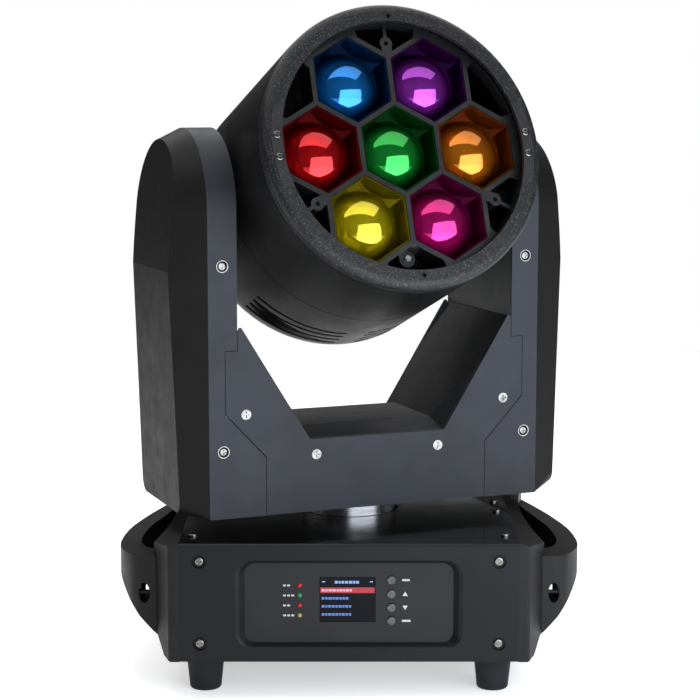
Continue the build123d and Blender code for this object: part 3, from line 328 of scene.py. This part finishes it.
def paint_metal():
    paint(surface("nickel", (0.13, 0.127, 0.12), (0.30, 0.29, 0.275), (0.16, 0.3), 1.0,
                  patch=260.0, grain=3000.0, relief=0.00002),
          "base_screws", "yoke_screws", "ring_screws")
    paint(surface("turned_steel", (0.42, 0.42, 0.43), (0.62, 0.62, 0.63), (0.16, 0.3), 1.0,
                  patch=40.0, grain=1500.0, relief=0.00002, stretch=(1.0, 1.0, 14.0)),
          "pan_hub", "zoom_lead_screw", "tilt_shafts", "pan_motor_rotor", "tilt_motor_rotor",
          "pan_bearings", "tilt_bearings")
    paint(surface("rod_steel", (0.18, 0.18, 0.19), (0.3, 0.3, 0.31), (0.25, 0.4), 1.0,
                  patch=90.0),
          "guide_rods")
    paint(surface("zinc_sheet", (0.36, 0.37, 0.38), (0.52, 0.53, 0.54), (0.3, 0.5), 1.0,
                  patch=55.0, grain=900.0),
          "pan_bridge", "yoke_frame", "power_supply")
    paint(surface("machined_alloy", (0.42, 0.42, 0.43), (0.56, 0.56, 0.57), (0.28, 0.45), 1.0,
                  patch=70.0, grain=1300.0),
          "pan_pulley", "heatsink")


def paint_drives_and_boards():
    paint(surface("motor_can", (0.014, 0.014, 0.015), (0.026, 0.026, 0.028), (0.3, 0.45), 0.4,
                  grain=1100.0),
          "pan_motor", "tilt_motor", "zoom_motor")
    paint(surface("belt", (0.010, 0.010, 0.010), (0.018, 0.018, 0.018), (0.65, 0.85),
                  grain=700.0, relief=0.0003, strength=0.7),
          "pan_belt", "tilt_belt")
    paint(board_finish("solder_mask"),
          "control_board", "main_board", "yoke_driver_board", "head_driver_board")


# ---------------------------------------------------------------- mesh helpers

def add_object(name, vertices, faces, mat, body, smooth=False):
    mesh = bpy.data.meshes.new(name)
    mesh.from_pydata([tuple(v) for v in vertices], [], faces)
    mesh.update()
    for face in mesh.polygons:
        face.use_smooth = smooth
    mesh.materials.append(mat)
    obj = bpy.data.objects.new(name, mesh)
    scene.collection.objects.link(obj)
    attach(obj, body)
    return obj


def joint(name):
    return next(j for j in frame["joints"] if j["name"] == name)


def add_band(faces, lower, upper, count):
    """Quads between two closed loops of count vertices, given by their first vertices."""
    for i in range(count):
        j = (i + 1) % count
        faces.append((lower + i, lower + j, upper + j, upper + i))


def add_plate(vertices, faces, outline, y_front, y_back):
    """Closed plate with its outline given in (x, z), standing on the y axis."""
    start = len(vertices)
    count = len(outline)
    vertices += [(x, y_front, z) for x, z in outline] + [(x, y_back, z) for x, z in outline]
    faces.append(tuple(range(start, start + count)))
    faces.append(tuple(range(start + 2 * count - 1, start + count - 1, -1)))
    for i in range(count):
        j = (i + 1) % count
        faces.append((start + i, start + count + i, start + count + j, start + j))


# ---------------------------------------------------------------- lenses

# name: (deep colour between the middle of a dome and its rim, painted highlight colour at both)
LENS_TINTS = {
    "lens_green": ((0.002, 0.055, 0.006), (0.012, 0.42, 0.05)),
    "lens_orange": ((0.15, 0.032, 0.001), (0.80, 0.24, 0.01)),
    "lens_purple": ((0.035, 0.001, 0.055), (0.42, 0.04, 0.58)),
    "lens_blue": ((0.001, 0.022, 0.075), (0.01, 0.24, 0.72)),
    "lens_red": ((0.13, 0.001, 0.002), (0.75, 0.008, 0.012)),
    "lens_yellow": ((0.18, 0.145, 0.001), (0.80, 0.66, 0.01)),
    "lens_magenta": ((0.11, 0.001, 0.04), (0.80, 0.01, 0.24)),
}
LENS_PITCH = 0.0545
CUP_R = 0.0293               # to the corners of the hexagon
CUP_WALL = 0.0012
CUP_FLOOR = 0.0025
CUP_SIDES = 6
CORNER_TURN = math.pi / 6    # from the right-hand axis to the hexagon's first corner
DOME_R = 0.026
DOME_FOOT_R = 0.0243
DOME_SIDES = 48
DOME_RINGS = 18


def head_axes():
    right = Vector(joint("tilt")["axis"]).normalized()
    beam = Vector(joint("zoom")["axis"]).normalized()
    return Vector(joint("tilt")["pos_m"]), right, beam.cross(right).normalized(), beam


def lens_piece(name, centre, right, up, beam, depth, mat, shaded_cup_mat):
    """Hexagonal cup with a ball-like dome standing in it.

    The centre is at the back of the cup.
    """
    vertices, faces = [], []

    def point(r, angle, level):
        across = right * (r * math.cos(angle)) + up * (r * math.sin(angle))
        return centre + across + beam * level

    inner_r = CUP_R - CUP_WALL
    for radius, level in [(CUP_R, 0.0), (CUP_R, depth), (inner_r, depth), (inner_r, CUP_FLOOR)]:
        for i in range(CUP_SIDES):
            turn = 2 * math.pi * i / CUP_SIDES
            vertices.append(point(radius, turn + CORNER_TURN, level))
    for k in range(3):
        add_band(faces, CUP_SIDES * k, CUP_SIDES * (k + 1), CUP_SIDES)
    faces.append(tuple(range(CUP_SIDES - 1, -1, -1)))

    # The floor's outer loop follows the hexagon, with as many points as the dome has sides.
    start = len(vertices)
    turns = [2 * math.pi * i / DOME_SIDES for i in range(DOME_SIDES)]
    for turn in turns:
        flat = turn % (math.pi / 3) - CORNER_TURN
        reach = inner_r * math.cos(math.pi / 6) / math.cos(flat)
        vertices.append(point(reach, turn + CORNER_TURN, CUP_FLOOR))

    ball_centre = CUP_FLOOR - math.sqrt(DOME_R ** 2 - DOME_FOOT_R ** 2)
    foot = math.acos(DOME_FOOT_R / DOME_R)
    for k in range(DOME_RINGS):
        rise = foot + (math.pi / 2 - foot) * k / DOME_RINGS
        level = ball_centre + DOME_R * math.sin(rise)
        for turn in turns:
            vertices.append(point(DOME_R * math.cos(rise), turn + CORNER_TURN, level))
    tip = len(vertices)
    vertices.append(point(0, 0, ball_centre + DOME_R))

    add_band(faces, start, start + DOME_SIDES, DOME_SIDES)
    cup_faces = len(faces)
    for k in range(1, DOME_RINGS):
        lower = start + k * DOME_SIDES
        add_band(faces, lower, lower + DOME_SIDES, DOME_SIDES)
    last = tip - DOME_SIDES
    for i in range(DOME_SIDES):
        faces.append((last + i, last + (i + 1) % DOME_SIDES, tip))

    obj = add_object(name, vertices, faces, mat, "zoom_carriage")
    # the second material is the cup's painted shade
    obj.data.materials.append(shaded_cup_mat)
    for face in obj.data.polygons:
        on_dome = face.index >= cup_faces
        face.use_smooth = on_dome
        face.material_index = 0 if on_dome else 1
    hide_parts("lenses")


def lenses():
    """One lens in the middle and six around it, as deep as the CAD lenses they replace."""
    origin, right, up, beam = head_axes()
    depths = [(v.co - origin).dot(beam) for v in frame["nodes"]["lenses"].data.vertices]
    back, front = min(depths), max(depths)
    centre = origin + beam * back
    spots = [(0.0, 0.0)] + [(LENS_PITCH, math.radians(a)) for a in range(0, 360, 60)]
    for (name, (deep, painted_highlight)), (reach, angle) in zip(LENS_TINTS.items(), spots):
        place = centre + right * (reach * math.cos(angle)) + up * (reach * math.sin(angle))
        # the cup walls and floor get a darker copy of the dome's deep colour: painted shade
        # inside the cell
        cup = surface(name + "_cup", scaled(deep, 0.6), scaled(deep, 1.1), (0.08, 0.16), 0.7,
                      patch=90.0, grain=500.0, relief=0.00001)
        # each dome gets its deep colour and its painted highlight colour
        tint = lens_finish(name + "_tint", deep, painted_highlight)
        lens_piece(name, place, right, up, beam, front - back, tint, cup)


# ---------------------------------------------------------------- status lamps

LAMP_TINTS = {
    "lamp_red_top": (0.50, 0.006, 0.008),
    "lamp_green": (0.01, 0.26, 0.06),
    "lamp_red": (0.50, 0.006, 0.008),
    "lamp_yellow": (0.32, 0.28, 0.08),
}
LAMP_R = 0.0015
LAMP_SIDES = 24
LAMP_NOSE = (85, 65, 45, 25, 0)    # degrees from the lamp's side, at each loop of its nose


def lamp_heights():
    """Heights of the lamps' centres, from the top one down."""
    low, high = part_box("status_leds")
    step = (high.z - low.z - 2 * LAMP_R) / (len(LAMP_TINTS) - 1)
    return [high.z - LAMP_R - i * step for i in range(len(LAMP_TINTS))]


def status_lamps():
    """One resin lamp in each hole of the display panel, in place of the plain lamps."""
    low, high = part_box("status_leds")
    x = (low.x + high.x) / 2
    nose = [math.radians(a) for a in LAMP_NOSE]
    loops = [(LAMP_R * math.cos(a), low.y + LAMP_R - LAMP_R * math.sin(a)) for a in nose]
    loops.append((LAMP_R, high.y))
    turns = [2 * math.pi * k / LAMP_SIDES for k in range(LAMP_SIDES)]
    for (name, tint), z in zip(LAMP_TINTS.items(), lamp_heights()):
        vertices, faces = [], []
        for r, y in loops:
            vertices += [(x + r * math.cos(t), y, z + r * math.sin(t)) for t in turns]
        faces.append(tuple(range(LAMP_SIDES)))
        for s in range(len(loops) - 1):
            add_band(faces, (s + 1) * LAMP_SIDES, s * LAMP_SIDES, LAMP_SIDES)
        end = len(vertices) - 1
        faces.append(tuple(range(end, end - LAMP_SIDES, -1)))
        resin = glowing(name + "_resin", tint, 0.15)
        obj = add_object(name, vertices, faces, resin, "base", True)
        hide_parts("status_leds")


# ---------------------------------------------------------------- display

MARK_LIFT = 0.00012          # how far printed marks stand off their surface
BAR_LIFT = 0.00010
BAR_TEXT_LIFT = 0.00018      # text on the selected row clears the row's own bar
DASH_GAP = 0.0005
SCREEN_MARGIN = 0.0026
TEXT_INDENT = 0.0008
FIRST_ROW = 0.0057           # from the top of the screen
ROW_STEP = 0.00545
ROWS = 5

# dash widths in mm, one dash for each word or part of a word
TITLE_DASHES = (2.2, 1.3, 1.7, 2.0, 2.4, 1.5, 1.9)
SELECTED_DASHES = (2.0, 1.6, 2.0, 2.3, 1.4, 1.9, 1.5, 2.1, 1.2)
ROW_DASHES = (
    (1.9, 1.6, 2.2, 1.4, 2.0, 1.7, 1.5, 1.9),
    (2.1, 1.2, 1.8, 2.0, 1.6, 2.1, 1.4, 1.8, 1.5),
    (1.8, 1.5, 2.2, 1.6, 1.9, 1.3, 2.0, 1.7, 1.5),
)


def bar(x0, x1, z0, z1):
    return [(x0, z0), (x1, z0), (x1, z1), (x0, z1)]


def dashes(start, row, widths, half_height, gap=DASH_GAP):
    """Bars that run to the right from start, centred on the height of the row."""
    outlines = []
    for width in widths:
        end = start + width * MM
        outlines.append(bar(start, end, row - half_height, row + half_height))
        start = end + gap
    return outlines


def arrowhead(x, z, sign):
    """Triangle that points up for sign 1, down for sign -1."""
    base_z = z - 0.0013 * sign
    points = [(x - 0.0017, base_z), (x + 0.0017, base_z), (x, z + 0.0016 * sign)]
    return points if sign > 0 else points[::-1]


def add_marks(name, outlines, surface_y, lift, mat):
    vertices, faces = [], []
    for outline in outlines:
        add_plate(vertices, faces, outline, surface_y - lift, surface_y)
    add_object(name, vertices, faces, mat, "base")


def beside(button, gap):
    """Point right of a button, at the button's height."""
    low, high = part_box(button)
    return high.x + gap, (low.z + high.z) / 2


def panel_marks():
    """Dashes for the words at two buttons and at the lamps, arrowheads at the other two."""
    outlines = []
    for button, width in (("menu_button", 5.0), ("enter_button", 5.6)):
        x, z = beside(button, 0.0035)
        outlines += dashes(x, z, (width,), 0.0007)
    for button, sign in (("up_button", 1), ("down_button", -1)):
        x, z = beside(button, 0.0055)
        outlines.append(arrowhead(x, z, sign))
    words_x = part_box("status_leds")[0].x - 0.0095
    for i, z in enumerate(lamp_heights()):
        outlines += dashes(words_x, z, (1.9,) * (3 if i % 2 else 2), 0.0006, gap=0.0008)
    # the printed marks also give off a faint light of their own: painted light on real print
    glowing_ink = glowing("panel_ink_glow", (0.45, 0.46, 0.48), 0.15, 0.5)
    add_marks("panel_marks", outlines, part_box("display_panel")[0].y, MARK_LIFT, glowing_ink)


def screen_marks():
    """A title with a small mark at each side, a selected row and three plain rows."""
    low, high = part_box("display_screen")
    x0, x1 = low.x + SCREEN_MARGIN, high.x - SCREEN_MARGIN
    text_x = x0 + TEXT_INDENT
    rows = [high.z - FIRST_ROW - i * ROW_STEP for i in range(ROWS)]

    title = dashes(x0 + 0.0095, rows[0], TITLE_DASHES, 0.0009)
    for x in (x0 + 0.0012, x1 - 0.0032):
        title += dashes(x, rows[0] + 0.0003, (2.0,), 0.0004)
    add_marks("screen_title", title, low.y, MARK_LIFT,
              glowing("title_glow", (0.16, 0.28, 0.55), 0.35))

    add_marks("screen_selected_row", [bar(x0, x1, rows[1] - 0.0019, rows[1] + 0.0019)], low.y,
              BAR_LIFT, glowing("row_red", (0.28, 0.012, 0.018), 0.4))
    add_marks("screen_selected_text", dashes(text_x, rows[1], SELECTED_DASHES, 0.0008), low.y,
              BAR_TEXT_LIFT, glowing("row_pale", (0.42, 0.30, 0.42), 0.4))

    plain = []
    for row, widths in zip(rows[2:], ROW_DASHES):
        plain += dashes(text_x, row, widths, 0.0008)
    add_marks("screen_rows", plain, low.y, MARK_LIFT,
              glowing("row_blue", (0.055, 0.15, 0.50), 0.4))


# ---------------------------------------------------------------- stage

CAMERA_LENS = 99.76
CAMERA_PLACE = (0.00064, -1.3516, 0.3793)
CAMERA_DIP = 7.87            # degrees below level
FLOOR_HALF = 1.6
WHITE = (1.0, 1.0, 1.0)
COOL_WHITE = (0.86, 0.92, 1.0)
FRONT_BOX_PLACE = (0.275, -0.418, 0.244)
FRONT_BOX_TARGET = (0.035, -0.087, 0.338)
LIGHT_ON_OBJECT = 0.05       # the white surround's strength for all but the camera


def camera():
    data = bpy.data.cameras.new("camera")
    data.lens = CAMERA_LENS
    data.sensor_width = 36.0
    obj = bpy.data.objects.new("camera", data)
    scene.collection.objects.link(obj)
    obj.location = CAMERA_PLACE
    obj.rotation_euler = (math.radians(90 - CAMERA_DIP), 0, 0)
    scene.camera = obj


def white_floor():
    z = cad_box[0][2]
    corners = [(-FLOOR_HALF, -FLOOR_HALF, z), (FLOOR_HALF, -FLOOR_HALF, z),
               (FLOOR_HALF, FLOOR_HALF, z), (-FLOOR_HALF, FLOOR_HALF, z)]
    mesh = bpy.data.meshes.new("floor")
    mesh.from_pydata(corners, [], [(0, 1, 2, 3)])
    floor = bpy.data.objects.new("floor", mesh)
    scene.collection.objects.link(floor)
    mat = bpy.data.materials.new("floor_white")
    mat.use_nodes = True
    bsdf = mat.node_tree.nodes["Principled BSDF"]
    bsdf.inputs["Base Color"].default_value = (0.92, 0.92, 0.92, 1)
    bsdf.inputs["Roughness"].default_value = 0.9
    bsdf.inputs["Specular IOR Level"].default_value = 0.1
    bsdf.inputs["Emission Color"].default_value = (*WHITE, 1)
    bsdf.inputs["Emission Strength"].default_value = 0.5
    floor.data.materials.append(mat)


def area_light(name, place, turn, width, height, power, color=WHITE):
    data = bpy.data.lights.new(name, "AREA")
    data.shape = "RECTANGLE"
    data.size = width
    data.size_y = height
    data.energy = power
    data.color = color
    obj = bpy.data.objects.new(name, data)
    scene.collection.objects.link(obj)
    obj.location = place
    obj.rotation_euler = turn
    obj.visible_camera = False


def lights():
    area_light("overhead_box", (-0.14, -0.12, 1.45), (0, 0, math.radians(8)), 2.8, 1.75, 28.0)
    area_light("rear_box", (-0.2, 1.3, 1.5), (math.radians(-38), 0, 0), 2.4, 1.0, 14.0)
    look = Vector(FRONT_BOX_TARGET) - Vector(FRONT_BOX_PLACE)
    area_light("front_box", FRONT_BOX_PLACE, look.to_track_quat("-Z", "Y").to_euler(),
               0.62, 0.46, 3.6, COOL_WHITE)


def world():
    """White to the eye, dim to everything it lights."""
    sky = bpy.data.worlds.new("world")
    scene.world = sky
    sky.use_nodes = True
    tree = sky.node_tree
    background = tree.nodes["Background"]
    background.inputs["Color"].default_value = (*WHITE, 1)
    path = tree.nodes.new("ShaderNodeLightPath")
    level = tree.nodes.new("ShaderNodeMapRange")
    level.inputs["To Min"].default_value = LIGHT_ON_OBJECT
    level.inputs["To Max"].default_value = 1.0
    tree.links.new(path.outputs["Is Camera Ray"], level.inputs["Value"])
    tree.links.new(level.outputs["Result"], background.inputs["Strength"])


paint_base()
paint_yoke()
paint_head()
paint_metal()
paint_drives_and_boards()
lenses()
panel_marks()
screen_marks()
status_lamps()
camera()
white_floor()
lights()
world()
